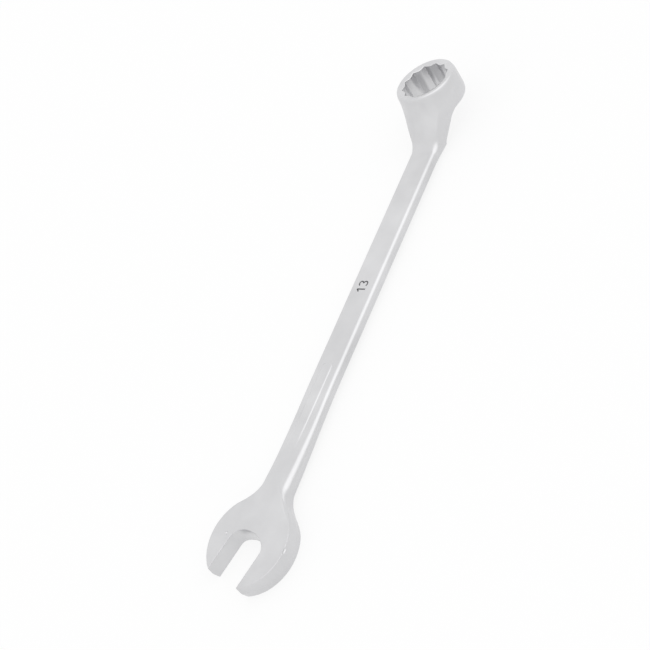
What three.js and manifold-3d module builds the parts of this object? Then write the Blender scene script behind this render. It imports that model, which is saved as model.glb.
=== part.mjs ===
// Combination wrench for 13 mm hexagons: an open end and a raised 12-point ring on one forging.
// Millimetres. +X runs from the open end to the ring, +Y is the side that the open end leans to,
// and +Z is the side that the ring is raised towards. The underside of the open end lies on Z = 0.

import * as THREE from 'three';
import { ConvexGeometry } from 'three/addons/geometries/ConvexGeometry.js';
import { mergeVertices } from 'three/addons/utils/BufferGeometryUtils.js';
import Module from 'manifold-3d';

const wasm = await Module();
wasm.setup();

// Driving dimensions
const nutAcrossFlats = 13;
const jawClearance = 0.2;      // between the nut and the open jaws, across the flats
const ringClearance = 0.2;     // between the nut and the ring's flats
const overallLength = 171;

const jawBreadth = 7.6;        // from the slot's straight walls to the head's outer circle
const headThickness = 5.4;
const headBevelWidth = 2;      // the open end's faces fall away over this width
const headBevelDrop = 0.8;
const noseAngle = 41;          // degrees between the shank and the sides of the head's pointed face

const slotAngle = 15;          // degrees between the jaws and the shank
const rootReach = 2.7;         // how far the slot's bottom passes the head's centre
const rootDepth = 4;           // of the slot's half-oval bottom, past its straight walls
const tipChamfer = 0.5;        // lead-in at the inner corners of the jaws

const shankWidth = 9.4;
const shankThickness = 3.4;
const shankEdge = 0.9;         // rounding along the shank's four edges
const neckFilletRadius = 7;    // where the shank runs out into the head

const tongueWidth = 3.8;       // raised strip on the shank beside the head
const tongueHeight = 0.2;
const tongueEnd = 55.9;        // from the head's centre

const ringWall = 3.2;          // from the bore's flats to the widest part of the barrel-shaped wall
const ringHeight = 9;
const ringDraft = 0.95;        // how much narrower the wall is at its rims
const mouthCrown = 3;          // height over which the wall draws in below the mouth
const footCrown = 2;           // the same above the ring's lower rim
const ringTilt = 9.5;          // degrees that the ring's axis leans away from the shank
const ringRise = 13.4;         // from the shank's middle plane to the ring's mouth, on its axis
const mouthFlare = 1.95;       // from the bore's flats to the outer edge of the countersink
const mouthDepth = 1.1;

const crankRun = 16.6;         // from the foot of the crank to the ring's mouth, along the shank
const heelSetback = 5;         // the crank's underside starts this much nearer to the ring
const crestSpread = 47;        // degrees each side of the back that the crank takes up on the ring's rim
const chinSpread = 65;         // the same at the ring's lower rim

const rimSteps = 5;            // facets in a small rounding
const circleSteps = 48;        // facets in a full circle

// Sizes that follow
const jawWidth = nutAcrossFlats + jawClearance;
const headRadius = jawWidth / 2 + jawBreadth;
const boreApothem = (nutAcrossFlats + ringClearance) / 2;
const ringRadius = boreApothem + ringWall;
const mouthRadius = boreApothem + mouthFlare;
const slotTurn = THREE.MathUtils.degToRad(slotAngle);
const tilt = THREE.MathUtils.degToRad(ringTilt);
const middle = headThickness / 2;
const tipAngle = Math.PI - slotTurn + Math.asin(jawWidth / 2 / headRadius);
const tipReach = -headRadius * Math.cos(tipAngle);
const ringReach = Math.max(...mouthCrownPoints().map((point) =>
  point.x * Math.cos(tilt) + point.y * Math.sin(tilt)));
const ringX = overallLength - tipReach - ringReach;
const crankX = ringX - crankRun;
const heelX = crankX + heelSetback;
const centreShift = tipReach - overallLength / 2;

const chrome = new THREE.MeshStandardMaterial({ color: 0xd6d6d8, roughness: 0.28, metalness: 1 });

// A closed three.js geometry as a solid that can be joined and cut
function solid(geometry) {
  const bare = geometry.index ? geometry.toNonIndexed() : geometry.clone();
  bare.deleteAttribute('normal');
  bare.deleteAttribute('uv');
  const merged = mergeVertices(bare, 1e-4);
  return new wasm.Manifold(new wasm.Mesh({
    numProp: 3,
    vertProperties: new Float32Array(merged.attributes.position.array),
    triVerts: new Uint32Array(merged.index.array),
  }));
}

function meshOf(body, name, material) {
  const { vertProperties, triVerts, numProp } = body.getMesh();
  const geometry = new THREE.BufferGeometry();
  const points = new THREE.InterleavedBuffer(vertProperties, numProp);
  geometry.setAttribute('position', new THREE.InterleavedBufferAttribute(points, 3, 0));
  geometry.setIndex(new THREE.BufferAttribute(triVerts, 1));
  const mesh = new THREE.Mesh(geometry.toNonIndexed(), material);
  mesh.geometry.computeVertexNormals();
  mesh.name = name;
  return mesh;
}

// A flat outline made into a plate that is centred on the middle plane, with rounded rims
function plate(shape, thickness, rimWidth = 0, rimDrop = rimWidth) {
  const geometry = new THREE.ExtrudeGeometry(shape, {
    depth: thickness - 2 * rimDrop,
    bevelEnabled: rimWidth > 0,
    bevelThickness: rimDrop,
    bevelSize: rimWidth,
    bevelOffset: -rimWidth,
    bevelSegments: rimSteps,
    curveSegments: circleSteps / 2,
  });
  geometry.translate(0, 0, middle - thickness / 2 + rimDrop);
  return geometry;
}

// Turns and moves a solid's geometry from the ring's own axes, with its mouth on Z = 0, to its place
function placeOnRing(geometry) {
  geometry.rotateY(tilt);
  geometry.translate(ringX, 0, middle + ringRise);
  return geometry;
}

// A solid of revolution about the ring's axis, from pairs of a radius and a height
function turned(profile) {
  const geometry = new THREE.LatheGeometry(profile, circleSteps);
  geometry.rotateX(Math.PI / 2);
  return placeOnRing(geometry);
}

// The open end: a disc whose raised faces run out in a point along the shank
function head() {
  const touch = Math.PI / 2 - THREE.MathUtils.degToRad(noseAngle);
  const nose = new THREE.Shape();
  nose.moveTo(0, 0);
  nose.lineTo(headRadius * Math.cos(touch), -headRadius * Math.sin(touch));
  nose.lineTo(headRadius / Math.cos(touch), 0);
  nose.lineTo(headRadius * Math.cos(touch), headRadius * Math.sin(touch));
  nose.closePath();
  const disc = new THREE.Shape();
  disc.absarc(0, 0, headRadius, 0, 2 * Math.PI, false);
  const noseFaces = solid(plate(nose, headThickness, headBevelWidth, headBevelDrop))
    .intersect(solid(plate(shankOutline(), headThickness, headBevelWidth, headBevelDrop)));
  return solid(plate(disc, headThickness, headBevelWidth, headBevelDrop)).add(noseFaces);
}

// The shank in plan, with the fillets by which it runs out into the head
function shankOutline() {
  const half = shankWidth / 2;
  const filletY = half + neckFilletRadius;
  const filletX = Math.sqrt((headRadius + neckFilletRadius) ** 2 - filletY ** 2);
  const touch = Math.atan2(filletY, filletX);
  const shape = new THREE.Shape();
  shape.moveTo(heelX, half);
  shape.lineTo(filletX, half);
  shape.absarc(filletX, filletY, neckFilletRadius, -Math.PI / 2, -Math.PI + touch, true);
  shape.lineTo(0, 0);
  shape.absarc(filletX, -filletY, neckFilletRadius, Math.PI - touch, Math.PI / 2, true);
  shape.lineTo(heelX, -half);
  shape.closePath();
  return shape;
}

function shank() {
  return solid(plate(shankOutline(), shankThickness, shankEdge));
}

// The low raised strip that runs from the head's nose up the shank
function tongue() {
  const radius = tongueWidth / 2;
  const shape = new THREE.Shape();
  shape.moveTo(0, -radius);
  shape.lineTo(tongueEnd - radius, -radius);
  shape.absarc(tongueEnd - radius, 0, radius, -Math.PI / 2, Math.PI / 2, false);
  shape.lineTo(0, radius);
  shape.closePath();
  return solid(plate(shape, shankThickness + 2 * tongueHeight));
}

// The jaw slot: straight walls, a round bottom, and a lead-in between the tips
function jawSlot() {
  const half = jawWidth / 2;
  const rootX = rootReach - rootDepth;
  const tipX = -Math.sqrt(headRadius ** 2 - half ** 2);
  const outside = -headRadius - shankWidth;
  const flare = half + tipX + tipChamfer - outside;
  const shape = new THREE.Shape();
  shape.moveTo(outside, -flare);
  shape.lineTo(tipX + tipChamfer, -half);
  shape.absellipse(rootX, 0, rootDepth, half, -Math.PI / 2, Math.PI / 2, false);
  shape.lineTo(tipX + tipChamfer, half);
  shape.lineTo(outside, flare);
  shape.closePath();
  const geometry = plate(shape, 2 * headThickness);
  geometry.rotateZ(-slotTurn);
  return solid(geometry);
}

// The crank: the hull of the shank's end and the part of the ring's wall that it grows out of
function crank() {
  const top = shankThickness / 2;
  const side = shankWidth / 2;
  const shankEnd = [-1, 1].flatMap((sign) => [
    new THREE.Vector3(crankX, sign * (side - shankEdge), middle + top),
    new THREE.Vector3(crankX, sign * side, middle + top - shankEdge),
    new THREE.Vector3(heelX, sign * side, middle - top + shankEdge),
    new THREE.Vector3(heelX, sign * (side - shankEdge), middle - top),
  ]);
  const wall = new THREE.BufferGeometry().setFromPoints([
    ...mouthCrownPoints().flatMap((point) => backArc(point.x, point.y, crestSpread)),
    ...footCrownPoints().flatMap((point) => backArc(point.x, point.y, chinSpread)),
  ]);
  placeOnRing(wall);
  const wallPoints = Array.from({ length: wall.attributes.position.count }, (_, i) =>
    new THREE.Vector3().fromBufferAttribute(wall.attributes.position, i));
  return solid(new ConvexGeometry([...shankEnd, ...wallPoints]));
}

// Points of a level arc about the ring's axis, on the side that faces the open end
function backArc(radius, height, spread) {
  const half = THREE.MathUtils.degToRad(spread);
  return new THREE.EllipseCurve(0, 0, radius, radius, Math.PI - half, Math.PI + half)
    .getPoints(circleSteps / 4)
    .map((point) => new THREE.Vector3(point.x, point.y, height));
}

// The ring before it is bored: barrel-shaped, narrower at its rims
function ringBlank() {
  return solid(turned([
    new THREE.Vector2(0, -ringHeight),
    ...footCrownPoints(),
    ...mouthCrownPoints(),
    new THREE.Vector2(0, 0),
  ]));
}

// Radius and height along the ring's outside, from its lower rim up to its widest part
function footCrownPoints() {
  return new THREE.EllipseCurve(
    ringRadius - ringDraft, footCrown - ringHeight, ringDraft, footCrown, -Math.PI / 2, 0,
  ).getPoints(rimSteps);
}

// The same from its widest part up to the mouth
function mouthCrownPoints() {
  return new THREE.EllipseCurve(
    ringRadius - ringDraft, -mouthCrown, ringDraft, mouthCrown, 0, Math.PI / 2,
  ).getPoints(rimSteps);
}

// The 12-point bore: two hexagons turned by 30 degrees, right through the ring
function ringBore() {
  const corner = boreApothem / Math.cos(Math.PI / 6);
  const notch = boreApothem / Math.cos(Math.PI / 12);
  const points = Array.from({ length: 24 }, (_, i) => {
    const radius = i % 2 ? notch : corner;
    const angle = i * Math.PI / 12;
    return new THREE.Vector2(radius * Math.cos(angle), radius * Math.sin(angle));
  });
  const geometry = new THREE.ExtrudeGeometry(new THREE.Shape(points), {
    depth: 3 * ringHeight, bevelEnabled: false,
  });
  geometry.translate(0, 0, -2 * ringHeight);
  return solid(placeOnRing(geometry));
}

// The cone that opens the bore at its mouth
function mouthCone() {
  const slope = (mouthRadius - bottomRadius()) / mouthDepth;
  const over = mouthDepth;
  return solid(turned([
    new THREE.Vector2(0, -mouthDepth),
    new THREE.Vector2(bottomRadius(), -mouthDepth),
    new THREE.Vector2(mouthRadius + slope * over, over),
    new THREE.Vector2(0, over),
  ]));
}

function bottomRadius() {
  return boreApothem / Math.cos(Math.PI / 12);
}

const forging = head()
  .add(shank())
  .add(tongue())
  .add(crank())
  .add(ringBlank())
  .subtract(jawSlot())
  .subtract(ringBore())
  .subtract(mouthCone());

const wrench = new THREE.Group();
wrench.add(meshOf(forging, 'wrench_forging', chrome));
wrench.position.set(centreShift, 0, 0);

export default wrench;
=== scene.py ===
import math
import bpy
import numpy as np
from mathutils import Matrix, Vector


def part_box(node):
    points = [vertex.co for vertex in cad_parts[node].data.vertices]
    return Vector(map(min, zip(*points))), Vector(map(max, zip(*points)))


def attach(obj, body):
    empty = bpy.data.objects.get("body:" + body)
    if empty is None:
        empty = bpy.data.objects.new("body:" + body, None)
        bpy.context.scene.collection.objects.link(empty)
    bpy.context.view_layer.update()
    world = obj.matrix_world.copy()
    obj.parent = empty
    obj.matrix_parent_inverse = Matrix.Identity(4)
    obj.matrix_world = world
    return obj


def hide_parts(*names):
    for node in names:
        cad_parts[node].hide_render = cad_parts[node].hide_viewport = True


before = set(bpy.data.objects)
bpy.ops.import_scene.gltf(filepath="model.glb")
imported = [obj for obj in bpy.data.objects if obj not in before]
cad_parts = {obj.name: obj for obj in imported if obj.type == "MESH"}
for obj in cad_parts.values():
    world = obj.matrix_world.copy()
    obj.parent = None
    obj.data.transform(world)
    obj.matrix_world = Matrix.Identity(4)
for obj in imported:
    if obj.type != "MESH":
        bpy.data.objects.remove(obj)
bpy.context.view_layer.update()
boxLow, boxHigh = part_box("wrench_forging")
print("frame loaded")

mm = 0.001


# Eases from 0 to 1 between two values: 3t^2 - 2t^3
def easeStep(low, high, value):
    t = np.clip((value - low) / (high - low), 0, 1)
    return t * t * (3 - 2 * t)


# The larger of two distances; where they differ by less than k, a parabola k/4 high bridges them
def easeMax(a, b, k):
    h = np.maximum(k - np.abs(a - b), 0) / k
    return np.maximum(a, b) + h * h * k * 0.25


# The smaller of two distances, bridged the same way
def easeMin(a, b, k):
    return -easeMax(-a, -b, k)


# Corner between two faces turned into an arc: the larger distance, or inside the corner
# the distance to an arc of radius r
def arcMax(a, b, r):
    return np.minimum(-r, np.maximum(a, b)) + np.hypot(np.maximum(r + a, 0), np.maximum(r + b, 0))


# The same for an inner corner: the smaller distance, with an arc of radius r between the faces
def arcMin(a, b, r):
    return -arcMax(-a, -b, r)


# All lengths in mm from the centre of the open end, with its middle plane at z = 0
head = {
    "across": 14.43,        # half the oval's width, square to the jaw slot
    "along": 13.82,         # half its length, along the slot
    "centreAlong": -0.091,
    "centreAcross": 0.061,
    "half": 2.7,            # half the thickness at the faces
    "edge": 0.08,           # rounding where the faces meet the rim
    "draft": 0.18,          # the rim draws in by this share of the height above the middle plane
    "crownWidth": 0.9,      # the faces fall away over this width
    "crownDrop": 0.16,
    "crownLeft": 0.15,      # share of that drop which is left on the shank
    "crownEnds": (0, 11),   # where it fades, along the wrench
    "faceEnds": (9, 42),    # where the face sinks to the shank's
    "edgeEnds": (12, 26),   # where the edge turns into the shank's
    "slotTurn": 15,         # degrees
    "jawHalf": 6.6,
    "rootStart": -1.3,      # where the slot's half-oval bottom begins
    "rootDepth": 4.0,
    "rootTaper": 0.133,
    "tipStart": -12.0,      # where the jaws' lead-in begins
    "creaseTurn": 41.5,     # degrees between the shank and the crease beside the face
    "creaseX": 18.5,        # where it starts
    "creaseY": -1.4,
    "creaseLength": 13.6,
    "creaseRise": (-1, 8),  # along it, where it deepens
    "creaseFade": 1.2,
    "creaseShift": 0.35,    # how far left of its line the groove lies
    "creaseWidth": 0.3,
    "creaseDepth": 0.2,
    "shoulder": 1.5,        # rounding to the right of the crease, and less towards its end
    "shoulderEnd": 1.1,
    "shoulderTurn": (3, 13),        # along the crease, where it lessens
    "shoulderSide": (-0.55, -0.2),  # across it, where the rounding sets in
    "shoulderStart": (5.5, 9.5),    # along the wrench, and its two fading ends
    "shoulderFade": (17, 44),
    "shoulderLeft": (-1.5, 1),
    "slotEdge": 0.12,       # rounding of the slot's edges
    "nicks": (              # place, and half sizes along x, y and z
        (-0.7, -14.1, 2.5, 1.0, 0.4, 0.42),
        (1.1, 8.6, 2.72, 0.5, 0.32, 0.3)),
}

shank = {
    "halfWidth": 4.7,
    "half": 1.7,
    "edge": 0.9,
    "fillet": 3.9,          # where the shank runs out into the open end
    "flareRight": 0.86,     # how much further out each side is at the open end
    "flareLeft": -0.539,
    "flareEnds": (20, 52),
    "tongueHalf": 1.7,      # half the width of the low raised strip
    "tongueEnd": 54.2,
    "tongueHeight": 0.2,
    "tongueStart": (24, 36),        # where it rises
    "tongueRim": (-0.25, 0.3),      # its bevel, measured out from its edge
    "tongueMiddle": 0.1,
    "end": 134.5,
}

ring = {
    "x": 147.864,           # the axis where it passes through the mouth
    "z": 13.4,
    "tilt": 9.5,            # degrees
    "radius": 9.8,
    "height": 9.0,
    "draft": 0.8,           # how much narrower the wall is at its rims
    "mouthCrown": 2.6,      # heights over which it draws in
    "footCrown": 2.0,
    "mouth": 8.55,          # radius of the countersink
    "mouthDepth": 0.5,
    "mouthEase": 0.15,      # easing between the countersink and the bore
    "apothem": 6.6,         # from the axis to the hexagon's flats
    "ridgeEase": 0.35,
    "rimEdge": 0.35,        # roundings of the wall's rims and the bore's edge
    "boreEdge": 0.25,
    "mostLean": 0.98,       # how far round the quarter ovals go
}

crank = {
    "corner": (130.6, 4.75, 1.0),  # upper side corner of the foot
    "heel": (135.6, 4.7, -0.9),
    "crest": (133, 9.6, -1.5),  # on the ring's wall: azimuth, radius, height below the mouth
    "chin": (112, 9.9, -7.5),
    "foot": 130.6,
    "frontSlope": 55,       # degrees
    "frontCrown": 0.045,    # the front falls away towards its side edges
    "hollow": 0.55,         # the side panels are dished behind their front edges
    "hollowWidth": 7.0,
    "underStart": 135.8,
    "underSlope": 46,
    "lipRadius": 9.2,       # the arc under the mouth that the front runs up to
    "lipStep": 1.3,
    "riseHeight": 12.9,     # from the shank's top to that arc
    "crownFrom": 1.2,       # half the flat width of the front
    "capLean": 10,          # degrees that the outer side leans away
    "toPanel": 1.0,         # bridges and roundings between the crank's faces
    "toLower": 0.8,
    "edge": 0.15,
    "edgeFoot": 0.8,        # added to the edge at the foot
    "underEdge": 0.7,
    "topEdge": 0.35,
    "toRing": 2.0,
    "toShank": 1.6,
}


# Distance along and across the jaw slot, from the centre of the open end
def slotAxes(x, y):
    turn = math.radians(head["slotTurn"])
    return x * math.cos(turn) - y * math.sin(turn), -x * math.sin(turn) - y * math.cos(turn)


# Outline in plan: an oval joined to a strip, with an arc in each inner corner
def outlineDistance(x, y):
    along, across = slotAxes(x, y)
    along, across = along - head["centreAlong"], across - head["centreAcross"]
    oval = (np.hypot(along / head["along"], across / head["across"]) - 1) * head["along"]
    flare = 1 - easeStep(*shank["flareEnds"], x)
    strip = np.maximum(
        y - shank["halfWidth"] - shank["flareLeft"] * flare,
        -y - shank["halfWidth"] - shank["flareRight"] * flare)
    return arcMin(oval, np.maximum(strip, -x), shank["fillet"])


# Distances from the crease beside the face: along it from its start, and out to its right
def creaseAxes(x, y):
    turn = math.radians(head["creaseTurn"])
    dx, dy = x - head["creaseX"], y - head["creaseY"]
    return -dx * math.cos(turn) - dy * math.sin(turn), dx * math.sin(turn) - dy * math.cos(turn)


# Half thickness in plan: the shank's, plus a face that sinks along it, plus a low tongue,
# less a crown that is an ellipse's height above its rim, less the crease's bell-shaped groove
def halfThickness(x, y, outline):
    run, right = creaseAxes(x, y)
    face = (head["half"] - shank["half"]) * (1 - easeStep(*head["faceEnds"], x))
    last = head["creaseLength"]
    deep = easeStep(*head["creaseRise"], run) * (1 - easeStep(last - head["creaseFade"], last, run))
    crease = head["creaseDepth"] * deep * np.exp(-((right + head["creaseShift"]) / head["creaseWidth"]) ** 2)
    fromMiddle = np.hypot(np.maximum(x - shank["tongueEnd"], 0), y - shank["tongueMiddle"])
    bevel = 1 - easeStep(*shank["tongueRim"], fromMiddle - shank["tongueHalf"])
    tongue = shank["tongueHeight"] * easeStep(*shank["tongueStart"], x) * bevel
    inward = np.clip(1 + outline / head["crownWidth"], 0, 0.999)
    kept = 1 - (1 - head["crownLeft"]) * easeStep(*head["crownEnds"], x)
    crown = head["crownDrop"] * kept * (1 - np.sqrt(1 - inward ** 2))
    return shank["half"] + face + tongue - crown - crease


# The jaw slot: a strip that ends in half an oval, and widens at the tips
def slotDistance(x, y, z):
    along, across = slotAxes(x, y)
    depth = head["rootDepth"] + head["rootTaper"] * (z - head["half"])
    reach = np.hypot(across / head["jawHalf"], np.maximum(along - head["rootStart"], 0) / depth)
    lead = (np.abs(across) - head["jawHalf"] - (head["tipStart"] - along)) * math.sqrt(0.5)
    return np.minimum((reach - 1) * head["jawHalf"], lead)


# Position in the ring's own axes: towards the ring's far side, and up from its mouth
def ringAxes(x, z):
    tilt = math.radians(ring["tilt"])
    dx, dz = x - ring["x"], z - ring["z"]
    return dx * math.cos(tilt) - dz * math.sin(tilt), dx * math.sin(tilt) + dz * math.cos(tilt)


# A place on the ring's wall from its azimuth, radius and height
def onWall(azimuth, radius, height):
    tilt, angle = math.radians(ring["tilt"]), math.radians(azimuth)
    a = radius * math.cos(angle)
    return (
        ring["x"] + a * math.cos(tilt) + height * math.sin(tilt),
        radius * math.sin(angle),
        ring["z"] - a * math.sin(tilt) + height * math.cos(tilt))


# Signed distance to the plane through three points, growing towards +Y
def planeDistance(p, q, r, x, y, z):
    normal = np.cross(np.subtract(q, p), np.subtract(r, p))
    normal = normal / np.linalg.norm(normal) * np.sign(normal[1])
    return (x - p[0]) * normal[0] + (y - p[1]) * normal[1] + (z - p[2]) * normal[2]


# Radius of the ring's barrel-shaped wall at a height: quarter ovals towards both rims
def barrelRadius(height):
    upper = np.clip((height + ring["mouthCrown"]) / ring["mouthCrown"], 0, ring["mostLean"])
    lower = np.clip((ring["footCrown"] - ring["height"] - height) / ring["footCrown"], 0, ring["mostLean"])
    return ring["radius"] - ring["draft"] * (2 - np.sqrt(1 - upper ** 2) - np.sqrt(1 - lower ** 2))


# The crank: a front face ruled between a straight foot and the mouth's arc, four side planes,
# and a sloping underside; a parabola across each side panel dishes it
def crankDistance(x, y, z, a, height, barrel):
    side = np.abs(y)
    foot, heel = crank["corner"], crank["heel"]
    crest, chin = onWall(*crank["crest"]), onWall(*crank["chin"])
    panel = planeDistance(foot, crest, chin, x, side, z)
    rise = np.clip((z - shank["half"]) / crank["riseHeight"], -0.3, 1.2)
    lip = np.sqrt(np.maximum(crank["lipRadius"] ** 2 - y ** 2, 1))
    lipX = ring["x"] - lip * math.cos(math.radians(ring["tilt"])) + crank["lipStep"]
    front = (crank["foot"] * (1 - rise) + lipX * rise - x) * math.sin(math.radians(crank["frontSlope"]))
    behind = np.clip(-front / crank["hollowWidth"], 0, 1)
    panel = panel + crank["hollow"] * 4 * behind * (1 - behind)
    lean = math.radians(crank["capLean"])
    cap = side * math.cos(lean) - a * math.sin(lean) - barrel
    lower = planeDistance(foot, chin, heel, x, side, z)
    fall = np.maximum(side - crank["crownFrom"], 0) ** 2
    front = front + crank["frontCrown"] * fall * easeStep(-0.1, 0.1, rise)
    slope = math.radians(crank["underSlope"])
    under = (x - crank["underStart"]) * math.sin(slope) - (z + shank["half"]) * math.cos(slope)
    body = easeMax(easeMax(panel, cap, crank["toPanel"]), lower, crank["toLower"])
    corner = crank["edge"] + crank["edgeFoot"] * (1 - easeStep(0, 0.4, rise))
    body = arcMax(arcMax(body, front, corner), under, crank["underEdge"])
    body = np.maximum(body, a + 2)
    return np.maximum(arcMax(body, height, crank["topEdge"]), -z - shank["half"])


# Distance outside the 12-point bore: two hexagons turned by 30 degrees, with eased ridges
def boreDistance(a, y, radius):
    turn = math.radians(60)
    angle = np.arctan2(y, a) / turn
    one = radius * np.cos(np.abs(angle % 1 - 0.5) * turn)
    other = radius * np.cos(np.abs((angle + 0.5) % 1 - 0.5) * turn)
    return easeMin(one, other, ring["ridgeEase"]) - ring["apothem"]


# The whole forging as one signed distance, negative inside the steel: the open end and the shank,
# less the slot and the nicks (ovals), joined to the ring and the crank, less the bore and its cone.
# Its parts run into each other on all sides, so they share one skin
def forgingDistance(x, y, z):
    outline = outlineDistance(x, y)
    run, right = creaseAxes(x, y)
    edge = head["edge"] + (shank["edge"] - head["edge"]) * easeStep(*head["edgeEnds"], x)
    less = easeStep(*head["shoulderTurn"], run)
    shoulder = head["shoulder"] + (head["shoulderEnd"] - head["shoulder"]) * less
    beside = easeStep(*head["shoulderSide"], right) * (1 - easeStep(*head["shoulderFade"], x))
    rightOnly = easeStep(*head["shoulderStart"], x) * (1 - easeStep(*head["shoulderLeft"], y))
    edge = edge + (shoulder - edge) * beside * rightOnly
    wall = outline + np.abs(z) * head["draft"]
    body = arcMax(np.abs(z) - halfThickness(x, y, outline), wall, edge)
    body = np.maximum(body, x - shank["end"])
    body = arcMax(body, -slotDistance(x, y, z), head["slotEdge"])
    for px, py, pz, a, b, c in head["nicks"]:
        oval = (np.sqrt(((x - px) / a) ** 2 + ((y - py) / b) ** 2 + ((z - pz) / c) ** 2) - 1) * min(b, c)
        body = np.maximum(body, -oval)
    a, height = ringAxes(x, z)
    radius = np.hypot(a, y)
    barrel = barrelRadius(height)
    drum = arcMax(radius - barrel, np.maximum(height, -height - ring["height"]), ring["rimEdge"])
    drum = easeMin(drum, crankDistance(x, y, z, a, height, barrel), crank["toRing"])
    body = easeMin(body, drum, crank["toShank"])
    boreEdge = ring["apothem"] / math.cos(math.radians(15))
    slope = (ring["mouth"] - boreEdge) / ring["mouthDepth"]
    cone = (radius - ring["mouth"] - height * slope) / math.hypot(1, slope)
    void = easeMin(boreDistance(a, y, radius), cone, ring["mouthEase"])
    return easeMax(body, -void, ring["boreEdge"])


# Slope of a distance at each point, from its change over a short step each way
def slopeOf(distance, points, step):
    steps = np.eye(3) * step
    return np.stack([
        distance(*(points + s).T) - distance(*(points - s).T) for s in steps], axis=1) / (2 * step)


# Values from each mark to the next, at about the given spacing
def spaced(*marks):
    runs = [
        np.linspace(start, stop, max(1, round((stop - start) / gap)), endpoint=False)
        for start, gap, stop in zip(marks[:-2:2], marks[1:-1:2], marks[2::2])]
    return np.concatenate(runs + [[marks[-1]]])


# Skin of a distance field on a grid of cells. Each cell that the surface crosses gets one point,
# the nearest to the planes that touch the surface where its edges cross it (least squares, held
# to their mean), and each crossed grid line gets a face of four such points
def skinOf(distance, xs, ys, zs):
    lines = (xs, ys, zs)
    value = distance(xs[:, None, None], ys[None, :, None], zs[None, None, :])
    inside = value < 0
    shape = [len(line) - 1 for line in lines]
    corners = [
        inside[i:shape[0] + i, j:shape[1] + j, k:shape[2] + k]
        for i in (0, 1) for j in (0, 1) for k in (0, 1)]
    count = np.sum(corners, axis=0)
    crossed = (count > 0) & (count < 8)
    cells = np.stack(np.nonzero(crossed))
    number = np.full(crossed.shape, -1)
    number[crossed] = np.arange(cells.shape[1])
    total, hits = np.zeros((cells.shape[1], 3)), np.zeros(cells.shape[1])
    planes, pull = np.zeros((cells.shape[1], 3, 3)), np.zeros((cells.shape[1], 3))
    faces = []
    for axis in range(3):
        first, second = (axis + 1) % 3, (axis + 2) % 3
        ahead = np.eye(3, dtype=int)[axis][:, None]
        for u, v in ((0, 0), (0, 1), (1, 0), (1, 1)):
            low = cells + (np.eye(3, dtype=int)[first] * u + np.eye(3, dtype=int)[second] * v)[:, None]
            start, stop = value[tuple(low)], value[tuple(low + ahead)]
            hit = (start < 0) != (stop < 0)
            share = np.where(hit, start / np.where(hit, start - stop, 1), 0)
            place = np.stack([lines[d][low[d]] for d in range(3)], axis=1)
            place[:, axis] += share * (lines[axis][low[axis] + 1] - lines[axis][low[axis]])
            total += place * hit[:, None]
            hits += hit
            slope = slopeOf(distance, place[hit], 0.01)
            slope = slope / np.linalg.norm(slope, axis=1, keepdims=True)
            planes[hit] += slope[:, :, None] * slope[:, None, :]
            pull[hit] += slope * (slope * place[hit]).sum(axis=1, keepdims=True)
        behind = np.moveaxis(inside, axis, 0)[:-1]
        infront = np.moveaxis(inside, axis, 0)[1:]
        change = np.moveaxis(behind != infront, 0, axis)
        outward = np.moveaxis(behind, 0, axis)[change]
        line = np.stack(np.nonzero(change))
        around = []
        for u, v in ((0, 0), (1, 0), (1, 1), (0, 1)):
            back = (np.eye(3, dtype=int)[first] * u + np.eye(3, dtype=int)[second] * v)[:, None]
            around.append(number[tuple(line - back)])
        face = np.stack(around, axis=1)
        face[~outward] = face[~outward][:, ::-1]
        faces.append(face)
    mean = total / hits[:, None]
    held = 0.04
    points = np.linalg.solve(planes + held * np.eye(3), (pull + held * mean)[:, :, None])[:, :, 0]
    lowest = np.stack([lines[d][cells[d]] for d in range(3)], axis=1)
    highest = np.stack([lines[d][cells[d] + 1] for d in range(3)], axis=1)
    reach = (highest - lowest) * 0.35
    return np.clip(points, lowest - reach, highest + reach), np.concatenate(faces)


# Points moved along the slope until their distance is nothing
def settle(distance, points):
    for _ in range(3):
        slope = slopeOf(distance, points, 0.02)
        move = -(distance(*points.T) / np.maximum((slope ** 2).sum(axis=1), 0.05))[:, None] * slope
        length = np.linalg.norm(move, axis=1, keepdims=True)
        points = points + move * np.minimum(1, 0.1 / np.maximum(length, 1e-9))
    return points


grid = {"fine": 0.22, "medium": 0.33, "long": 1.4}
xs = spaced(-15.2, grid["fine"], 24, grid["medium"], 30, grid["long"], 127, grid["fine"], 159)
ys = spaced(-15.6, grid["fine"], 15.6)
zs = spaced(-3.2, grid["fine"], 15.9)
points, faces = skinOf(forgingDistance, xs, ys, zs)
points = settle(forgingDistance, points)
# A corner takes the slope at its point, or on a sharp edge the slope a little way into its own face
atPoint = slopeOf(forgingDistance, points, 0.04)
atPoint = (atPoint / np.linalg.norm(atPoint, axis=1, keepdims=True))[faces.ravel()]
corners = points[faces]
inFace = (corners * 0.6 + corners.mean(axis=1, keepdims=True) * 0.4).reshape(-1, 3)
inFace = slopeOf(forgingDistance, inFace, 0.02)
inFace = inFace / np.linalg.norm(inFace, axis=1, keepdims=True)
sharp = (atPoint * inFace).sum(axis=1, keepdims=True) < math.cos(math.radians(22))
normals = np.where(sharp, inFace, atPoint)
slide = boxHigh.x / mm - points[:, 0].max()
lift = boxLow.z / mm + head["half"]
placed = (points + (slide, 0, lift)) * mm

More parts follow.
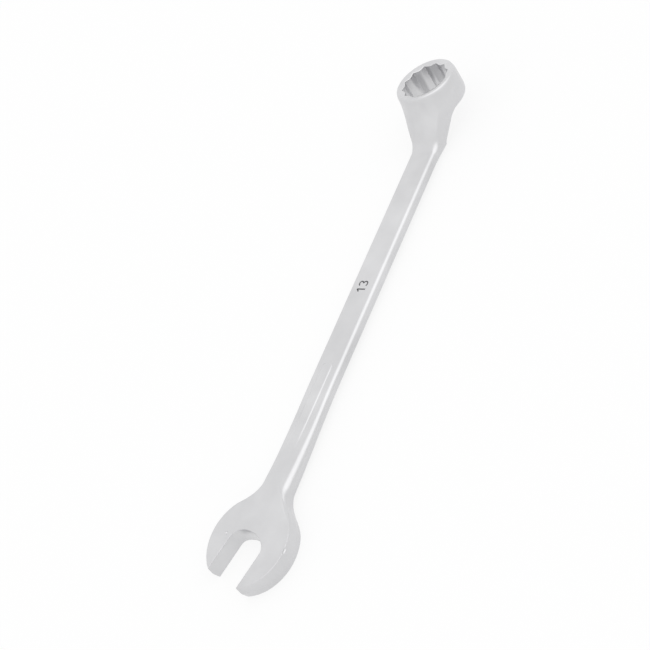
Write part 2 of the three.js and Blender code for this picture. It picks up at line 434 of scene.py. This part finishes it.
mesh = bpy.data.meshes.new("wrench")
mesh.vertices.add(len(placed))
mesh.vertices.foreach_set("co", placed.astype(np.float32).ravel())
mesh.loops.add(faces.size)
mesh.loops.foreach_set("vertex_index", faces.astype(np.int32).ravel())
mesh.polygons.add(len(faces))
mesh.polygons.foreach_set("loop_start", np.arange(0, faces.size, 4, dtype=np.int32))
mesh.update(calc_edges=True)
mesh.polygons.foreach_set("use_smooth", np.ones(len(faces), dtype=bool))
mesh.normals_split_custom_set(normals.tolist())
mesh.update()
wrench = bpy.data.objects.new("wrench", mesh)
bpy.context.scene.collection.objects.link(wrench)
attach(wrench, "root")
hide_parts("wrench_forging")
print("wrench skinned:", len(faces), "faces, valid change:", mesh.validate())


sizeMark = {
    "x": 80.4,
    "y": 0.2,
    "height": 3.0,
    "stroke": 0.42,
    "gap": 1.9,
    "proud": 0.012,         # above the shank's top
    "sunk": 0.1,
}


# Arc points from one angle to another, in degrees
def arcPoints(centre, radius, start, stop, count=14):
    angle = np.radians(np.linspace(start, stop, count))
    return np.stack([centre[0] + radius * np.cos(angle), centre[1] + radius * np.sin(angle)], axis=1)


# Rectangle carried along a flat path: each point steps half a stroke to both sides, square to
# the way from the point before it to the one after, at two heights
def strokeBlock(path):
    way = np.gradient(path, axis=0)
    way = way / np.linalg.norm(way, axis=1, keepdims=True)
    out = np.stack([-way[:, 1], way[:, 0]], axis=1) * sizeMark["stroke"] / 2
    top, low = shank["half"] + sizeMark["proud"], shank["half"] - sizeMark["sunk"]
    flat = np.stack([path + out, path - out, path - out, path + out], axis=1)
    height = np.broadcast_to(np.array([top, top, low, low])[None, :, None], (len(path), 4, 1))
    block = np.concatenate([flat, height], axis=2).reshape(-1, 3)
    first = np.arange(len(path) - 1)[:, None] * 4
    side = np.arange(4)[None, :]
    beside = (side + 1) % 4
    skin = np.stack([first + side, first + 4 + side, first + 4 + beside, first + beside], axis=2)
    last = len(path) * 4
    ends = np.array([[0, 1, 2, 3], [last - 1, last - 2, last - 3, last - 4]])
    return block, np.concatenate([skin.reshape(-1, 4), ends])


# The nut size as two figures: a bent stroke, and two bowls of arcs, in a dark grey that is painted shade of
# stamped grooves
def makeSizeMark():
    tall, gap = sizeMark["height"], sizeMark["gap"]
    bowl = tall / 4
    one = np.concatenate([
        np.linspace((-0.8, tall - 0.8), (-0.05, tall - 0.05), 6),
        np.linspace((0, tall - 0.1), (0, 0), 14)])
    three = np.concatenate([
        arcPoints((gap, tall - bowl), bowl, 150, -75),
        arcPoints((gap, bowl + 0.02), bowl + 0.02, 75, -150)])
    blocks, quads, count = [], [], 0
    for path in (one, three):
        block, skin = strokeBlock(path + (sizeMark["x"], sizeMark["y"] - tall / 2))
        blocks.append(block)
        quads.append(skin + count)
        count += len(block)
    block = (np.concatenate(blocks) + (slide, 0, lift)) * mm
    mesh = bpy.data.meshes.new("sizeMark")
    mesh.from_pydata(block.tolist(), [], np.concatenate(quads).tolist())
    mesh.update()
    mark = bpy.data.objects.new("sizeMark", mesh)
    bpy.context.scene.collection.objects.link(mark)
    # Painted shade: the flat strips are dark grey in place of the shade that stamped grooves would hold
    material = bpy.data.materials.new("markPaintedShade")
    material.use_nodes = True
    shader = material.node_tree.nodes["Principled BSDF"]
    shader.inputs["Base Color"].default_value = (0.12, 0.12, 0.125, 1)
    shader.inputs["Metallic"].default_value = 0.6
    shader.inputs["Roughness"].default_value = 0.55
    mesh.materials.append(material)
    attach(mark, "root")
    print("size mark made:", len(mesh.polygons), "faces")


makeSizeMark()


# Adds a named socket to a node group
def socketOf(group, name, kind, inOut, default=None):
    socket = group.interface.new_socket(name=name, in_out=inOut, socket_type=kind)
    if default is not None:
        socket.default_value = default


# Satin plating: fine grain from small noise and soft clouds from large noise
def makeSatinPlate():
    group = bpy.data.node_groups.new("satinPlate", "ShaderNodeTree")
    socketOf(group, "Vector", "NodeSocketVector", "INPUT")
    socketOf(group, "Grain Scale", "NodeSocketFloat", "INPUT", 2500)
    socketOf(group, "Cloud Scale", "NodeSocketFloat", "INPUT", 60)
    socketOf(group, "Roughness", "NodeSocketFloat", "INPUT", 0.3)
    socketOf(group, "Spread", "NodeSocketFloat", "INPUT", 0.05)
    socketOf(group, "Roughness", "NodeSocketFloat", "OUTPUT")
    socketOf(group, "Cloud", "NodeSocketFloat", "OUTPUT")
    socketOf(group, "Height", "NodeSocketFloat", "OUTPUT")
    nodes, links = group.nodes, group.links
    inlet, outlet = nodes.new("NodeGroupInput"), nodes.new("NodeGroupOutput")
    grain, cloud = nodes.new("ShaderNodeTexNoise"), nodes.new("ShaderNodeTexNoise")
    grain.inputs["Detail"].default_value = 3
    cloud.inputs["Detail"].default_value = 4
    links.new(inlet.outputs["Vector"], grain.inputs["Vector"])
    links.new(inlet.outputs["Vector"], cloud.inputs["Vector"])
    links.new(inlet.outputs["Grain Scale"], grain.inputs["Scale"])
    links.new(inlet.outputs["Cloud Scale"], cloud.inputs["Scale"])
    centred = nodes.new("ShaderNodeMath")
    centred.operation = "SUBTRACT"
    centred.inputs[1].default_value = 0.5
    links.new(cloud.outputs["Fac"], centred.inputs[0])
    varied = nodes.new("ShaderNodeMath")
    varied.operation = "MULTIPLY_ADD"
    links.new(centred.outputs[0], varied.inputs[0])
    links.new(inlet.outputs["Spread"], varied.inputs[1])
    links.new(inlet.outputs["Roughness"], varied.inputs[2])
    links.new(varied.outputs[0], outlet.inputs["Roughness"])
    links.new(cloud.outputs["Fac"], outlet.inputs["Cloud"])
    links.new(grain.outputs["Fac"], outlet.inputs["Height"])
    return group


satinPlate = makeSatinPlate()

chrome = {
    "bright": (0.76, 0.76, 0.77, 1),
    "dull": (0.58, 0.58, 0.59, 1),
    "cloudScale": 95,
    "roughness": 0.3,
    "grainHeight": 0.000004,
}


# Satin chrome: full metal, with the plate group's cloud for its tone and its grain for a bump
def makeChrome():
    material = bpy.data.materials.new("satinChrome")
    material.use_nodes = True
    nodes, links = material.node_tree.nodes, material.node_tree.links
    shader = nodes["Principled BSDF"]
    shader.inputs["Metallic"].default_value = 1
    where = nodes.new("ShaderNodeTexCoord")
    plate = nodes.new("ShaderNodeGroup")
    plate.node_tree = satinPlate
    plate.inputs["Roughness"].default_value = chrome["roughness"]
    plate.inputs["Cloud Scale"].default_value = chrome["cloudScale"]
    links.new(where.outputs["Object"], plate.inputs["Vector"])
    tint = nodes.new("ShaderNodeMix")
    tint.data_type = "RGBA"
    tint.inputs["A"].default_value = chrome["dull"]
    tint.inputs["B"].default_value = chrome["bright"]
    links.new(plate.outputs["Cloud"], tint.inputs["Factor"])
    links.new(tint.outputs["Result"], shader.inputs["Base Color"])
    links.new(plate.outputs["Roughness"], shader.inputs["Roughness"])
    bump = nodes.new("ShaderNodeBump")
    bump.inputs["Distance"].default_value = chrome["grainHeight"]
    bump.inputs["Strength"].default_value = 0.5
    links.new(plate.outputs["Height"], bump.inputs["Height"])
    links.new(bump.outputs["Normal"], shader.inputs["Normal"])
    return material


wrench.data.materials.append(makeChrome())
print("chrome made")

studio = {
    "floorSize": 6.0,
    "floorColour": (0.85, 0.85, 0.85, 1),
    "floorGlow": 0.8,
    "skyLevel": 1.0,
    "skyTop": 1.42,
    "topTowards": (0.1, -0.55, 0.83),
    "topSpread": (0.55, 0.97),        # cosines of the angle from it
}


# A math node on two values, and its result
def mathNode(nodes, links, operation, a, b):
    node = nodes.new("ShaderNodeMath")
    node.operation = operation
    links.new(a, node.inputs[0])
    links.new(b, node.inputs[1])
    return node.outputs[0]


# 1 for camera, glossy and transmission rays
def seenBackground(nodes, links):
    path = nodes.new("ShaderNodeLightPath")
    seen = mathNode(nodes, links, "MAXIMUM", path.outputs["Is Camera Ray"], path.outputs["Is Glossy Ray"])
    return mathNode(nodes, links, "MAXIMUM", seen, path.outputs["Is Transmission Ray"])


# Eases a value from start to stop while it goes from low to high
def rampNode(nodes, links, value, low, high, start=0, stop=1):
    node = nodes.new("ShaderNodeMapRange")
    node.interpolation_type = "SMOOTHSTEP"
    for name, number in (("From Min", low), ("From Max", high), ("To Min", start), ("To Max", stop)):
        node.inputs[name].default_value = number
    links.new(value, node.inputs["Value"])
    return node.outputs["Result"]


# A square floor at the height that the open end rests on: pale, partly glowing, and keeping shadows
def makeFloor():
    half = studio["floorSize"] / 2
    height = boxLow.z
    corners = [(-half, -half, height), (half, -half, height), (half, half, height), (-half, half, height)]
    mesh = bpy.data.meshes.new("floor")
    mesh.from_pydata(corners, [], [(0, 1, 2, 3)])
    floor = bpy.data.objects.new("floor", mesh)
    bpy.context.scene.collection.objects.link(floor)
    material = bpy.data.materials.new("paleFloor")
    material.use_nodes = True
    nodes, links = material.node_tree.nodes, material.node_tree.links
    shader = nodes["Principled BSDF"]
    shader.inputs["Roughness"].default_value = 1
    shader.inputs["Specular IOR Level"].default_value = 0
    shader.inputs["Base Color"].default_value = studio["floorColour"]
    glow = nodes.new("ShaderNodeEmission")
    glow.inputs["Color"].default_value = (1, 1, 1, 1)
    share = nodes.new("ShaderNodeMath")
    share.operation = "MULTIPLY"
    share.inputs[1].default_value = studio["floorGlow"]
    links.new(seenBackground(nodes, links), share.inputs[0])
    mix = nodes.new("ShaderNodeMixShader")
    links.new(share.outputs[0], mix.inputs["Fac"])
    links.new(shader.outputs["BSDF"], mix.inputs[1])
    links.new(glow.outputs["Emission"], mix.inputs[2])
    links.new(mix.outputs["Shader"], nodes["Material Output"].inputs["Surface"])
    mesh.materials.append(material)


# Sky: a level white that grows brighter towards one high direction, by the cosine of the angle
def makeSky():
    world = bpy.data.worlds.new("studio")
    bpy.context.scene.world = world
    world.use_nodes = True
    nodes, links = world.node_tree.nodes, world.node_tree.links
    background = nodes["Background"]
    where = nodes.new("ShaderNodeTexCoord")
    towards = nodes.new("ShaderNodeVectorMath")
    towards.operation = "DOT_PRODUCT"
    towards.inputs[1].default_value = studio["topTowards"]
    links.new(where.outputs["Generated"], towards.inputs[0])
    level = rampNode(
        nodes, links, towards.outputs["Value"], *studio["topSpread"], studio["skyLevel"], studio["skyTop"])
    links.new(level, background.inputs["Strength"])
    background.inputs["Color"].default_value = (1, 1, 1, 1)


makeFloor()
makeSky()

camera = bpy.data.cameras.new("camera")
camera.lens = 77.75
camera.sensor_width = 36
viewer = bpy.data.objects.new("camera", camera)
bpy.context.scene.collection.objects.link(viewer)
viewer.location = (-0.15295, -0.26549, 0.26146)
viewer.rotation_euler = [math.radians(angle) for angle in (39.766, 34.079, -62.575)]
bpy.context.scene.camera = viewer
bpy.context.scene.view_settings.view_transform = "Standard"
print("studio and camera set")
